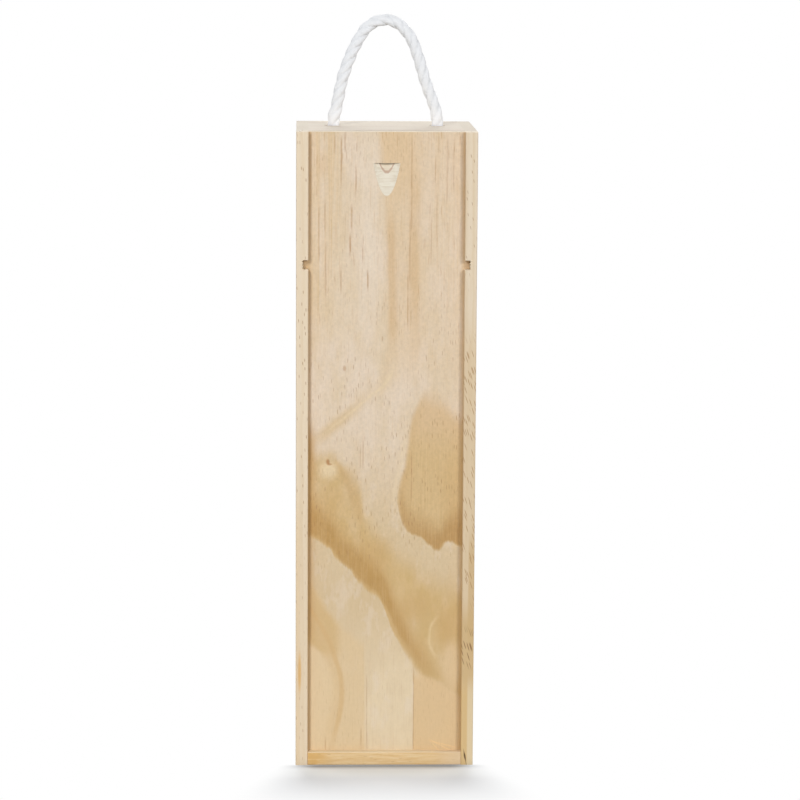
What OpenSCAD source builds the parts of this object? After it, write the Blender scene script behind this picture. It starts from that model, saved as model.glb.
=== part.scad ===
// Upright pine box for one bottle. The plywood lid slides up out of grooves in the side walls.
// X is across the front, the front faces -Y and Z is up. The origin is the centre of the base.

/* [Box] */
// Width over both side walls
box_w = 99.2; // [90:0.2:130]
// Depth from the front lips to the back
box_d = 100; // [90:1:130]
// Height from the base to the top of the side walls
box_h = 354; // [330:1:420]
// Thickness of the solid side and top boards
board = 6.8; // [6.4:0.2:10]
// Thickness of the bottom board
bottom_t = 7.5; // [6.5:0.5:10]
// Width of the planed-off corner along each edge that shows
arris = 0.4; // [0.1:0.1:0.8]

/* [Lid] */
// Thickness of the plywood lid
lid_t = 5; // [3:0.5:6]
// Wood left in front of the lid groove
lip = 4.5; // [3:0.5:8]
// Depth of the lid grooves into the side walls
groove_depth = 3.5; // [2:0.25:4]
// Play in front of the lid and behind it
lid_play = 0.3; // [0.2:0.05:0.6]
// Play between each edge of the lid and the bottom of its groove
lid_gap = 0.3; // [0.2:0.05:1]

/* [Finger pull] */
// Distance from the lid's top end to the straight upper edge of the pull
pull_drop = 17.3; // [10:0.1:40]
// Length of the pull, from its straight edge down to its tip
pull_len = 18.8; // [14:0.1:20]
// Radius of the round cutter
cutter_r = 13; // [9:0.5:18]
// Lean of the cutter into the lid, in degrees
cutter_lean = 7.5; // [4:0.25:8]

/* [Back] */
// Thickness of the plywood back
back_t = 5; // [3:0.5:8]
// Depth of the back rabbets into the side walls
rabbet_depth = 3.5; // [2:0.25:5]

/* [Neck support] */
// Thickness of the plywood support
support_t = 5; // [4:0.5:8]
// Play above the support in its dados
dado_play = 0.3; // [0.1:0.05:0.6]
// Depth of the dados into the side walls
dado_depth = 3; // [2:0.25:4]
// Height of the dado floors above the base
dado_z = 278.5; // [240:0.5:300]
// Gap between the lid and the support's front edge
support_gap = 0.6; // [0.4:0.1:3]
// Width of the slot for the neck of the bottle
neck_slot_w = 32; // [28:0.5:40]
// Width of the lead-in at the mouth of the slot
slot_lead = 3; // [1:0.5:5]

/* [Rope] */
// Diameter of the rope
rope_d = 6.5; // [5:0.25:6.5]
// Diameter of the two rope holes
rope_hole_d = 9; // [9:0.5:12]
// Distance between the centres of the rope holes
rope_pitch = 59.4; // [56:0.2:64]
// How far the rope holes lie behind the middle of the top panel
rope_set_back = 6.5; // [0:0.5:10]
// How far the left leg of the rope leans inwards in its hole
left_lean = 1.1; // [0:0.1:1.1]
// How far the right leg of the rope leans inwards in its hole
right_lean = 0.2; // [0:0.1:1.1]
// Gap under the folding loop and over each knot
rope_gap = 0.3; // [0.2:0.05:0.5]
// Diameter over the turns of a stopper knot
knot_d = 19.5; // [16:0.5:20]
// Length of rope below a knot
tail_len = 12; // [6:1:15]

/* [Brads] */
// Diameter of a brad's shank
brad_d = 1.4; // [1:0.1:1.8]
// Length of a brad
brad_len = 20; // [16:1:25]
// Diameter of a brad's head
brad_head_d = 2.2; // [2:0.1:3]
// Thickness of a brad's head
brad_head_t = 0.7; // [0.5:0.1:1]
// Distance from the front or back face to the nearest brads in a board's end
brad_inset = 20; // [12:1:30]

/* [Hidden] */
$fn = 64;
cut = 1;  // how far a cutter runs past the face that it opens

pine = [0.90, 0.80, 0.64];
pine_pale = [0.93, 0.85, 0.72];
plywood = [0.91, 0.81, 0.66];
rope_white = [0.93, 0.92, 0.89];
steel = [0.70, 0.70, 0.72];

// Planes of the box, seen from above
half_w = box_w / 2;
front_y = -box_d / 2;
back_y = box_d / 2;
inner_x = half_w - board;
inner_back_y = back_y - back_t;

// The lid and its grooves
groove_front_y = front_y + lip;
groove_back_y = groove_front_y + lid_t + 2 * lid_play;
groove_x = inner_x + groove_depth;
lid_front_y = groove_front_y + lid_play;
lid_back_y = lid_front_y + lid_t;
lid_edge_x = groove_x - lid_gap;
pull_top_z = box_h - pull_drop;
pull_tip_z = pull_top_z - pull_len;

// The back, the top panel and the space for the bottle
rabbet_x = inner_x + rabbet_depth;
top_z = box_h - board;
bay_mid_y = (lid_back_y + inner_back_y) / 2;
rope_y = (groove_back_y + inner_back_y) / 2 + rope_set_back;

// The neck support in its dados
dado_x = inner_x + dado_depth;
dado_h = support_t + dado_play;
support_front_y = lid_back_y + support_gap;
kerf_w = 0.8;      // width of a saw-tooth mark in a dado's bottom
kerf_depth = 0.4;  // depth of such a mark

// The rope. The loop turns about a line just above the top panel.
rope_r = rope_d / 2;
left_x = left_lean - rope_pitch / 2;
right_x = rope_pitch / 2 - right_lean;
tip_r = rope_r + 0.1;  // the round tip is a little fuller than the twisted rope
fold_z = box_h + rope_gap + tip_r;
rope_sides = 12;

// Centreline of the loop, as [x inwards of the leg, z above the fold line] on the legs and [x, z]
// over the crown. The left leg bows out and the right one is straighter.
left_leg = [[0, 0], [1.2, 5], [2.4, 11], [3.8, 18], [5.6, 25], [8, 32], [10.7, 38.5], [13.8, 44.3]];
crown = [[-11.4, 49.6], [-6.9, 53.5], [-0.5, 55.4], [5.4, 54.3], [10.6, 50.5]];
right_leg = [[14.4, 44.3], [12.1, 38.5], [9.9, 32], [7.9, 25], [5.6, 18], [2.9, 11], [0.9, 5], [0, 0]];
loop_path = concat([for (p = left_leg) [left_x + p[0], p[1]]], crown,
                   [for (p = right_leg) [right_x - p[0], p[1]]]);

// A stopper knot: a pulled-tight overhand knot, which is three turns of rope high
knot_ring_r = knot_d / 2 - rope_r;
knot_turns = 3;
knot_turn_rise = 1.1 * rope_d;
knot_high_z = top_z - rope_gap - rope_r;
knot_low_z = knot_high_z - (knot_turns - 1) * knot_turn_rise;
tail_end_z = knot_low_z - rope_r - tail_len;

// Rows of brads. Those of the back stay clear of the dados.
side_brad_y = [front_y + brad_inset, back_y - brad_inset];
side_brad_z = [bottom_t / 2, box_h - board / 2];
back_brad_x = inner_x + rabbet_depth / 2;
back_brad_z = [dado_z / 6, dado_z / 2, dado_z * 5 / 6, (dado_z + dado_h + top_z) / 2];
panel_brad_x = inner_x / 2;

// ---------- shared shapes ----------

// One brad driven along -Z, its head flush with z = 0. A hole for it runs on past its head.
module brad(past = 0) {
    translate([0, 0, -brad_head_t]) cylinder(d = brad_head_d, h = brad_head_t + past);
    translate([0, 0, -brad_len]) cylinder(d = brad_d, h = brad_len);
}

// The brads through the side walls into the ends of the top and bottom panels
module side_brad_set(past = 0) {
    for (side = [-1, 1], y = side_brad_y, z = side_brad_z)
        translate([side * half_w, y, z]) rotate([0, side * 90, 0]) brad(past);
}

// The brads through the back into the side walls and the panels
module back_brad_set(past = 0) {
    for (side = [-1, 1]) {
        for (z = back_brad_z)
            translate([side * back_brad_x, back_y, z]) rotate([-90, 0, 0]) brad(past);
        for (z = side_brad_z)
            translate([side * panel_brad_x, back_y, z]) rotate([-90, 0, 0]) brad(past);
    }
}

// Plan of the right side wall: groove behind the front lip, rabbet at the back, eased corners
module wall_plan() {
    polygon([
        [inner_x + arris, front_y], [half_w - arris, front_y], [half_w, front_y + arris],
        [half_w, back_y - arris], [half_w - arris, back_y], [rabbet_x, back_y],
        [rabbet_x, inner_back_y], [inner_x, inner_back_y], [inner_x, groove_back_y],
        [groove_x, groove_back_y], [groove_x, groove_front_y], [inner_x, groove_front_y],
        [inner_x, front_y + arris]
    ]);
}

// The dado for the neck support, cut through the lip to the front edge, with the three fine
// saw-tooth marks that the cutter leaves along its bottom
module dado() {
    run = inner_back_y - front_y + cut;
    translate([inner_x - cut, front_y - cut, dado_z]) cube([dado_depth + cut, run, dado_h]);
    for (i = [0:2])
        translate([dado_x - cut, front_y - cut, dado_z + dado_h * (2 * i + 1) / 6 - kerf_w / 2])
            cube([kerf_depth + cut, run, kerf_w]);
}

// Planes off the top front edge of a board whose face lies at y
module top_arris(y) {
    side = arris * sqrt(2);
    translate([0, y, box_h]) rotate([45, 0, 0]) cube([box_w + cut, side, side], center = true);
}

module side_wall() {
    difference() {
        linear_extrude(height = box_h) wall_plan();
        top_arris(front_y);
        dado();
        side_brad_set(cut);
        back_brad_set(cut);
    }
}

// ---------- sub-parts ----------

module side_wall_left() {
    color(pine) mirror([1, 0, 0]) side_wall();
}

module side_wall_right() {
    color(pine) side_wall();
}

module bottom_panel() {
    color(pine_pale) difference() {
        rotate([90, 0, 90]) translate([0, 0, -inner_x]) linear_extrude(height = 2 * inner_x) polygon([
            [front_y + arris, 0], [inner_back_y, 0], [inner_back_y, bottom_t],
            [front_y + arris, bottom_t], [front_y, bottom_t - arris], [front_y, arris]
        ]);
        side_brad_set();
        back_brad_set();
    }
}

module top_panel() {
    color(pine_pale) difference() {
        translate([-inner_x, groove_back_y, top_z])
            cube([2 * inner_x, inner_back_y - groove_back_y, board]);
        for (side = [-1, 1]) translate([side * rope_pitch / 2, rope_y, top_z - cut])
            cylinder(d = rope_hole_d, h = board + 2 * cut);
        side_brad_set();
        back_brad_set();
    }
}

module back_panel() {
    color(plywood) difference() {
        translate([-rabbet_x, inner_back_y, 0]) cube([2 * rabbet_x, back_t, box_h]);
        back_brad_set(cut);
    }
}

// The round cutter that makes the finger pull leans into the lid, so the pull deepens upwards
// from its rounded tip to a straight edge.
module finger_pull() {
    translate([0, lid_front_y, pull_tip_z]) rotate([-cutter_lean, 0, 0])
        translate([0, -cutter_r, -cut])
            cylinder(r = cutter_r, h = pull_len * cos(cutter_lean) + cut, $fn = 96);
}

module sliding_lid() {
    color(plywood) difference() {
        translate([0, 0, bottom_t]) linear_extrude(height = box_h - bottom_t) polygon([
            [-lid_edge_x + arris, lid_front_y], [lid_edge_x - arris, lid_front_y],
            [lid_edge_x, lid_front_y + arris], [lid_edge_x, lid_back_y - arris],
            [lid_edge_x - arris, lid_back_y], [-lid_edge_x + arris, lid_back_y],
            [-lid_edge_x, lid_back_y - arris], [-lid_edge_x, lid_front_y + arris]
        ]);
        top_arris(lid_front_y);
        finger_pull();
    }
}

// A shelf with a slot that opens to the front, centred on the bottle's axis
module neck_support() {
    slot_r = neck_slot_w / 2;
    color(plywood) translate([0, 0, dado_z]) difference() {
        translate([-dado_x, support_front_y, 0])
            cube([2 * dado_x, inner_back_y - support_front_y, support_t]);
        translate([0, bay_mid_y, -cut]) cylinder(r = slot_r, h = support_t + 2 * cut);
        translate([0, 0, -cut]) linear_extrude(height = support_t + 2 * cut) polygon([
            [-slot_r - slot_lead - cut, support_front_y - cut],
            [slot_r + slot_lead + cut, support_front_y - cut],
            [slot_r, support_front_y + slot_lead], [slot_r, bay_mid_y],
            [-slot_r, bay_mid_y], [-slot_r, support_front_y + slot_lead]
        ]);
    }
}

// ---------- rope ----------

// Direction of a path at point i, from its neighbours
function along(path, i) =
    let (n = len(path) - 1, d = path[min(i + 1, n)] - path[max(i - 1, 0)]) d / norm(d);

// One ring of points around point i of a path in the XZ plane
function ring(path, radii, i) =
    let (t = along(path, i))
    [for (k = [0:rope_sides - 1])
        let (a = 360 * k / rope_sides, r = radii[i])
        [path[i][0] + r * cos(a) * t[1], r * sin(a), path[i][1] - r * cos(a) * t[0]]];

// A closed tube along a path in the XZ plane, with one radius for each point
module rope_tube(path, radii) {
    n = len(path);
    m = rope_sides;
    points = [for (i = [0:n - 1]) each ring(path, radii, i)];
    walls = [for (i = [0:n - 2], k = [0:m - 1])
        [(i + 1) * m + k, (i + 1) * m + (k + 1) % m, i * m + (k + 1) % m, i * m + k]];
    ends = [[for (k = [0:m - 1]) k], [for (k = [m - 1:-1:0]) (n - 1) * m + k]];
    polyhedron(points = points, faces = concat(walls, ends));
}

// The loop above the box. Each leg ends in a round tip, centred on the line it folds about.
module rope_handle() {
    color(rope_white) translate([0, rope_y, fold_z]) {
        rope_tube(loop_path, [for (p = loop_path) rope_r]);
        for (x = [left_x, right_x]) translate([x, 0, 0]) rotate([0, 90, 0]) sphere(r = tip_r);
    }
}

// The stretch of rope in its hole, with its stopper knot and its tail inside the box
module rope_end() {
    color(rope_white) translate([0, rope_y, 0]) rotate_extrude() {
        translate([0, tail_end_z]) square([rope_r, box_h - tail_end_z]);
        translate([0, knot_low_z]) square([knot_ring_r, knot_high_z - knot_low_z]);
        for (i = [0:knot_turns - 1])
            translate([knot_ring_r, knot_low_z + i * knot_turn_rise]) circle(r = rope_r);
    }
}

module rope_end_left() {
    translate([left_x, 0, 0]) rope_end();
}

module rope_end_right() {
    translate([right_x, 0, 0]) rope_end();
}

// ---------- fasteners ----------

module side_brads() {
    color(steel) side_brad_set();
}

module back_brads() {
    color(steel) back_brad_set();
}

side_wall_left();
side_wall_right();
bottom_panel();
top_panel();
back_panel();
sliding_lid();
neck_support();
rope_handle();
rope_end_left();
rope_end_right();
side_brads();
back_brads();
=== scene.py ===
import math

import bmesh
import bpy
import numpy as np
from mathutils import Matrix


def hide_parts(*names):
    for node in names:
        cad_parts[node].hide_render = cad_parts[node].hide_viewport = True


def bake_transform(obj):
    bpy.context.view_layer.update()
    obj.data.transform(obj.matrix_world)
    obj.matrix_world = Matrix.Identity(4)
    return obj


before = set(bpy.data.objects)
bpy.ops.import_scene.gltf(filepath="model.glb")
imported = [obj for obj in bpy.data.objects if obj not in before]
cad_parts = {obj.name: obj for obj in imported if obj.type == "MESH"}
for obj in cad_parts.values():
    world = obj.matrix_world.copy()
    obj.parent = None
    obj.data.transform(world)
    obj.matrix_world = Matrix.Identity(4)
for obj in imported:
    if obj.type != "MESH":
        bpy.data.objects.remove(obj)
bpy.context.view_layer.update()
scene = bpy.context.scene


# Camera: a long lens 1.8 m in front of the box, a little above its top, so that the upright
# edges stay nearly parallel and the top panel shows as a narrow strip.
camera_data = bpy.data.cameras.new("camera")
camera_data.lens = 143.62
camera_data.sensor_width = 36.0
camera_data.clip_end = 20.0
camera = bpy.data.objects.new("camera", camera_data)
camera.location = (-0.04676, -1.78836, 0.46117)
camera.rotation_euler = [math.radians(turn) for turn in (81.6725, -0.3243, -1.7476)]
scene.collection.objects.link(camera)
scene.camera = camera


# Floor: a white paper sweep that the box stands on. It takes the soft shadow in front of the box
# and is pure white elsewhere, also where metal would mirror it.
FLOOR_REACH = 4.0
FLOOR_DROP = 0.0005
BOX_FRONT = -0.05


def feed(socket, value):
    """Joins a socket to another node's output, or sets its value."""
    if isinstance(value, bpy.types.NodeSocket):
        socket.id_data.links.new(value, socket)
    else:
        socket.default_value = value


def add(tree, kind, *values, **settings):
    """A new shader node with its settings, its first inputs fed in order."""
    made = tree.nodes.new("ShaderNode" + kind)
    for name, value in settings.items():
        setattr(made, name, value)
    for socket, value in zip(made.inputs, values):
        feed(socket, value)
    return made


def calc(tree, operation, a, b=0.0, c=0.0):
    """The result of one Math node."""
    return add(tree, "Math", a, b, c, operation=operation).outputs[0]


def minus(tree, a, b):
    """One amount less another."""
    return calc(tree, "SUBTRACT", a, b)


def times(tree, *amounts):
    """Several amounts multiplied together."""
    result = amounts[0]
    for amount in amounts[1:]:
        result = calc(tree, "MULTIPLY", result, amount)
    return result


def rise(tree, value, start, end, low=0.0, high=1.0):
    """A soft step from low to high while value goes from start to end."""
    step = add(tree, "MapRange", value, start, end, low, high, interpolation_type="SMOOTHSTEP")
    return step.outputs[0]


def fall(tree, value, start, end):
    """A soft step down from 1 to 0."""
    return rise(tree, value, start, end, 1.0, 0.0)


def mix(tree, amount, first, second):
    """The first colour with the second laid over it, by an amount from 0 to 1."""
    made = add(tree, "Mix", amount, data_type="RGBA")
    first_colour, second_colour = made.inputs[6:8]
    feed(first_colour, first)
    feed(second_colour, second)
    return made.outputs[2]


def finish_material(name, roughness, specular):
    """An empty material with its roughness and gloss set, as (material, tree, shader)."""
    material = bpy.data.materials.new(name)
    material.use_nodes = True
    tree = material.node_tree
    shader = tree.nodes["Principled BSDF"]
    shader.inputs["Roughness"].default_value = roughness
    shader.inputs["Specular IOR Level"].default_value = specular
    return material, tree, shader


def background_rays(tree):
    """1 for a ray that shows the background to the camera, straight, mirrored or through glass."""
    rays = add(tree, "LightPath").outputs
    shown = calc(tree, "ADD", rays["Is Camera Ray"], rays["Is Glossy Ray"])
    return calc(tree, "MINIMUM", calc(tree, "ADD", shown, rays["Is Transmission Ray"]), 1.0)


floor_mesh = bmesh.new()
bmesh.ops.create_circle(floor_mesh, cap_ends=True, segments=96, radius=FLOOR_REACH)
bmesh.ops.translate(floor_mesh, verts=floor_mesh.verts, vec=(0, 0, -FLOOR_DROP))
floor_data = bpy.data.meshes.new("floor")
floor_mesh.to_mesh(floor_data)
floor_mesh.free()
floor = bpy.data.objects.new("floor", floor_data)
scene.collection.objects.link(floor)

floor_finish, tree, shader = finish_material("white_sweep", 0.9, 0.0)
floor_place = add(tree, "TexCoord").outputs["Object"]
floor_x, floor_y, _ = add(tree, "SeparateXYZ", floor_place).outputs
before = minus(tree, BOX_FRONT, floor_y)

# The shadow is kept in a wedge that opens to the front; the paper beyond it is pure white
fade_start = calc(tree, "MULTIPLY_ADD", before, 0.15, 0.036)
fade_end = calc(tree, "MULTIPLY_ADD", before, 0.42, 0.06)
beside = fall(tree, calc(tree, "ABSOLUTE", floor_x), fade_start, fade_end)
kept_shade = times(tree, fall(tree, before, 0.01, 0.1), beside, rise(tree, before, -0.004, 0.0))
white_share = minus(tree, 1.0, kept_shade)
seen = background_rays(tree)

# The paper, with a painted contact shadow along the box's foot and a band of painted light in front of
# it that pales the real shadow there
paper = mix(tree, seen, (0.63, 0.63, 0.63, 1.0), (0.81, 0.84, 0.88, 1.0))
# Painted shadow: a dark line on the paper right at the box's foot
painted_contact_shadow = rise(tree, before, 0.0005, 0.006, 0.7, 0.0)
paper = mix(tree, painted_contact_shadow, paper, (0.3, 0.31, 0.33, 1.0))
# Painted light: a paler band 5 to 30 mm in front of the box that lifts the real shadow there
painted_light_band = times(tree, rise(tree, before, 0.005, 0.009), fall(tree, before, 0.015, 0.03))
paper = mix(tree, painted_light_band, paper, (0.91, 0.95, 0.98, 1.0))
feed(shader.inputs["Base Color"], paper)
paper_white = add(tree, "Emission", (1.0, 1.0, 1.0, 1.0), 1.0)
far_out = times(tree, white_share, seen)
floor_mix = add(tree, "MixShader", far_out, shader.outputs[0], paper_white.outputs[0])
feed(tree.nodes["Material Output"].inputs["Surface"], floor_mix.outputs[0])
floor_data.materials.append(floor_finish)


# Studio light: a soft key from the left, a weaker fill from the right, one light for each side,
# and a wide soft top light behind the box that lays its shadow on the floor in front of it.
AMBIENT = 0.08
AIM_HEIGHT = 0.2

scene.view_settings.view_transform = "Standard"
world = bpy.data.worlds.new("studio")
scene.world = world
world.use_nodes = True
tree = world.node_tree
ambient = tree.nodes["Background"]
ambient.inputs["Strength"].default_value = AMBIENT
ambient.inputs["Color"].default_value = (1.0, 1.0, 1.0, 1.0)
backdrop = add(tree, "Background", (1.0, 1.0, 1.0, 1.0), 1.0)
world_mix = add(tree, "MixShader", background_rays(tree), ambient.outputs[0], backdrop.outputs[0])
feed(tree.nodes["World Output"].inputs["Surface"], world_mix.outputs[0])


def studio_light(name, sideways_angle, height_angle, distance, size, power):
    """A square soft light aimed at the middle of the box, in degrees from the lid, metres and watts."""
    lamp_data = bpy.data.lights.new(name, "AREA")
    lamp_data.size = size
    lamp_data.energy = power
    lamp = bpy.data.objects.new(name, lamp_data)
    turned = math.radians(sideways_angle)
    raised = math.radians(height_angle)
    level = distance * math.cos(raised)
    lamp.location.x = level * math.sin(turned)
    lamp.location.y = -level * math.cos(turned)
    lamp.location.z = AIM_HEIGHT + distance * math.sin(raised)
    lamp.rotation_euler = (math.pi / 2 - raised, 0, turned)
    lamp.visible_camera = False
    scene.collection.objects.link(lamp)


studio_light("key", -21.5, 26.0, 5.0, 1.0, 121.5)
studio_light("fill", 29.0, 22.0, 5.0, 1.1, 88.5)
studio_light("top", 180.0, 50.0, 1.6, 0.8, 10.8)
studio_light("side_left", -110.0, 25.0, 1.6, 0.7, 7.5)
studio_light("side_right", 110.0, 25.0, 1.6, 0.7, 7.5)


# Side walls: two sawn pine boards that stand on end. Each has a groove for the lid behind its
# front lip, a rabbet for the back, and a dado for the neck support that runs out through the lip.
BOARD_TOP = 354.0
WALL_FRONT = -50.0
WALL_INSIDE = 42.8
WALL_OUTSIDE = 49.6
DADO_LOW = 278.3
DADO_HIGH = 283.7


def tone(red, green, blue):
    """A colour as it looks on screen, 0 to 255, turned into the shader's linear values."""
    linear = [((c / 255 + 0.055) / 1.055) ** 2.4 for c in (red, green, blue)]
    return (*linear, 1.0)


def raise_surface(tree, shader, height, strength, depth):
    """Bump from a height of 0 to 1 that stands for a depth in metres."""
    bump = add(tree, "Bump", strength, depth)
    feed(bump.inputs["Height"], height)
    feed(shader.inputs["Normal"], bump.outputs[0])


def object_millimetres(tree):
    """The place on the object in millimetres, whole and as x, y and z, for patterns at true scale."""
    coordinates = add(tree, "TexCoord").outputs["Object"]
    place = add(tree, "VectorMath", coordinates, (1000.0,) * 3, operation="MULTIPLY").outputs[0]
    return place, *add(tree, "SeparateXYZ", place).outputs


def stretched_noise(tree, place, scales, detail, offset=(0.0, 0.0, 0.0)):
    """Noise from 0 to 1, drawn out by different scales per millimetre along x, y and z."""
    moved = add(tree, "Mapping", place, offset, (0.0, 0.0, 0.0), scales)
    return add(tree, "TexNoise", moved.outputs[0], 0.0, 1.0, detail, 0.55).outputs[0]


def resin_dashes(tree, across, along, seed, lean, share, width, length, bold):
    """Short dark resin canals along the grain, as an amount from 0 to 1.

    They stand in cells of width by length, and lean as they run along. share is how many of the
    cells hold one, and bold how thick it is."""
    leaned = calc(tree, "MULTIPLY_ADD", along, lean, across)
    column = calc(tree, "DIVIDE", leaned, width)
    row = calc(tree, "DIVIDE", along, length)
    cell = add(tree, "CombineXYZ", calc(tree, "ADD", column, seed), row, 0.0)
    canals = add(tree, "TexVoronoi", cell.outputs[0], voronoi_dimensions="2D", feature="F1")
    feed(canals.inputs["Scale"], 1.0)
    chance = add(tree, "SeparateColor", canals.outputs["Color"]).outputs[0]
    near = fall(tree, canals.outputs["Distance"], bold * 0.5, bold)
    return times(tree, near, rise(tree, chance, 1.0 - share, 1.0 - share + 0.05))


def with_grain(grain, across, along):
    """The scales of noise for x, y and z, drawn out along the grain's axis."""
    return [along if axis == grain else across for axis in range(3)]


def laid(tree, colour, amount, share, red, green, blue):
    """The colour with another laid over it, by an amount from 0 to 1 and a share of it."""
    return mix(tree, times(tree, amount, share), colour, tone(red, green, blue))


def sawn_pine(name, grain, pith, ring_width, slant, tones, seed, lean, crowd, marks):
    """Solid pine: growth rings about a pith line outside the board, cut through by every face.

    grain is 0 or 2, the axis along the board. pith is where the pith lies across it, and slant
    is how far it drifts for each millimetre along the board. tones are early, late and streak.
    lean and crowd slant and thicken the resin canals, and marks adds what only this board has."""
    material, tree, shader = finish_material(name, 0.62, 0.25)
    place, x, y, z = object_millimetres(tree)
    along, across, depth = (x, z, y) if grain == 0 else (z, x, y)
    slow = with_grain(grain, 0.03, 0.012)
    fine = with_grain(grain, 2.6, 0.05)
    streaky = with_grain(grain, 0.55, 0.012)
    sway = minus(tree, stretched_noise(tree, place, slow, 3.0, (seed, 0.0, 0.0)), 0.5)
    side = calc(tree, "MULTIPLY_ADD", along, slant, across)
    side = minus(tree, calc(tree, "MULTIPLY_ADD", sway, 9.0, side), pith[0])
    back = minus(tree, calc(tree, "MULTIPLY_ADD", sway, -6.0, depth), pith[1])
    squares = calc(tree, "MULTIPLY_ADD", side, side, times(tree, back, back))
    rings = calc(tree, "DIVIDE", calc(tree, "SQRT", squares), ring_width)
    ripple = stretched_noise(tree, place, streaky, 3.0, (0.0, seed, 0.0))
    rings = calc(tree, "MULTIPLY_ADD", ripple, 0.5, rings)
    year = calc(tree, "FRACT", rings)
    late = calc(tree, "MINIMUM", rise(tree, year, 0.35, 0.9), fall(tree, year, 0.93, 1.0))
    strength = stretched_noise(tree, place, slow, 2.0, (seed, 7.0, 3.0))
    late = times(tree, late, rise(tree, strength, 0.25, 0.7, 0.15, 0.75))
    colour = mix(tree, late, tone(*tones[0]), tone(*tones[1]))
    if grain == 2:
        broad_face = times(tree, late, rise(tree, depth, WALL_FRONT + 0.5, WALL_FRONT + 4.0), 0.7)
        colour = mix(tree, broad_face, colour, tone(192, 160, 118))
    fibres = stretched_noise(tree, place, fine, 3.0, (0.0, 0.0, seed))
    colour = mix(tree, rise(tree, ripple, 0.52, 0.72, 0.0, 0.6), colour, tone(*tones[2]))
    colour = mix(tree, rise(tree, fibres, 0.5, 0.78, 0.0, 0.45), colour, tone(*tones[1]))
    round_corner = calc(tree, "MULTIPLY_ADD", depth, 0.83, across)
    dashes = resin_dashes(tree, round_corner, along, seed, lean, crowd, 1.1, 7.0, 0.19)
    gather = stretched_noise(tree, place, (0.05, 0.05, 0.03), 2.0, (seed, 1.0, 0.0))
    dashes = times(tree, dashes, rise(tree, gather, 0.36, 0.6, 0.2, 0.9))
    colour = mix(tree, dashes, colour, tone(160, 122, 82))
    speckle = stretched_noise(tree, place, (0.9, 0.9, 0.5), 3.0, (seed, 0.0, 9.0))
    colour = mix(tree, rise(tree, speckle, 0.4, 0.75, 0.0, 0.3), colour, tone(*tones[2]))
    feed(shader.inputs["Base Color"], marks(tree, x, y, z, colour))
    feed(shader.inputs["Roughness"], rise(tree, fibres, 0.2, 0.8, 0.52, 0.7))
    height = calc(tree, "MULTIPLY_ADD", late, 0.4, times(tree, fibres, 0.6))
    raise_surface(tree, shader, minus(tree, height, dashes), 0.35, 0.00012)
    return material


def dress(node, material):
    """Gives a CAD node its finish."""
    for material_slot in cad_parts[node].material_slots:
        material_slot.material = material


def oval(tree, x, z, centre, radii, soft):
    """1 inside an oval and 0 outside it, with a soft border that is a share of its radius."""
    across = calc(tree, "DIVIDE", minus(tree, x, centre[0]), radii[0])
    up = calc(tree, "DIVIDE", minus(tree, z, centre[1]), radii[1])
    squares = calc(tree, "MULTIPLY_ADD", across, across, times(tree, up, up))
    return fall(tree, calc(tree, "SQRT", squares), 1.0 - soft, 1.0 + soft)


def between(tree, value, low, high, soft):
    """1 where value lies between low and high, with soft ends."""
    first = rise(tree, value, low - soft, low + soft)
    return times(tree, first, fall(tree, value, high - soft, high + soft))


def top_end_painted_sheen(tree, z, colour):
    """The top end of a board, greyed by a painted sheen like that of light grazing across it."""
    end = rise(tree, z, BOARD_TOP - 0.15, BOARD_TOP - 0.03, 0.0, 0.85)
    return mix(tree, end, colour, tone(205, 196, 181))


def grey_rim(tree, x, colour):
    """The outer corner of a wall, a little greyer."""
    away = calc(tree, "ABSOLUTE", x)
    rim = rise(tree, away, WALL_OUTSIDE - 0.7, WALL_OUTSIDE - 0.1, 0.0, 0.5)
    return mix(tree, rim, colour, tone(205, 189, 172))


def top_corner_painted_highlight(tree, y, z, colour):
    """A painted highlight along the front corner of a top end, paler than the faces it joins."""
    top = rise(tree, z, BOARD_TOP - 0.45, BOARD_TOP - 0.2)
    corner = times(tree, top, fall(tree, y, WALL_FRONT + 5.5, WALL_FRONT + 7.0))
    return laid(tree, colour, corner, 0.6, 248, 234, 212)


def lip_side_painted_shade(tree, x, y, z, colour):
    """Painted shade on the lip's narrow side towards the lid: warm brown, and stronger low down."""
    side = fall(tree, calc(tree, "ABSOLUTE", x), WALL_INSIDE + 0.2, WALL_INSIDE + 0.6)
    side = times(tree, side, rise(tree, y, WALL_FRONT + 0.1, WALL_FRONT + 0.5))
    side = times(tree, side, fall(tree, y, WALL_FRONT + 5.0, WALL_FRONT + 6.0))
    side = times(tree, side, rise(tree, z, 150.0, 200.0, 0.75, 0.55))
    return mix(tree, side, colour, tone(200, 163, 106))


def dado_painted_light(tree, x, y, z, colour):
    """Painted light inside the dado, paler than the rest of the board to lift the shade in it."""
    away = calc(tree, "ABSOLUTE", x)
    cut = between(tree, z, DADO_LOW, DADO_HIGH, 0.15)
    cut = times(tree, cut, fall(tree, away, WALL_OUTSIDE - 1.4, WALL_OUTSIDE - 1.0))
    cut = times(tree, cut, rise(tree, y, WALL_FRONT + 0.1, WALL_FRONT + 0.4))
    cut = times(tree, cut, fall(tree, y, 42.0, 44.0))
    return mix(tree, cut, lip_side_painted_shade(tree, x, y, z, colour), tone(252, 240, 218))


def left_marks(tree, x, y, z, colour):
    """The left wall: warmer wood and a resin streak low on its front edge, a greyer outer corner,
    painted light in the dado, painted shade on the lip, and a painted sheen and highlight at the top.
    """
    colour = grey_rim(tree, x, colour)
    front = fall(tree, y, WALL_FRONT + 0.2, WALL_FRONT + 4.0)
    warmer = times(tree, rise(tree, x, -47.5, -46.5, 1.0, 0.3), fall(tree, z, 125.0, 170.0), front)
    colour = laid(tree, colour, warmer, 0.6, 222, 197, 160)
    streak = times(tree, oval(tree, x, z, (-47.4, 53.0), (0.9, 10.0), 0.6), front)
    colour = laid(tree, colour, streak, 0.75, 214, 168, 98)
    return top_corner_painted_highlight(tree, y, z, top_end_painted_sheen(tree, z, dado_painted_light(tree, x, y, z, colour)))


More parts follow.
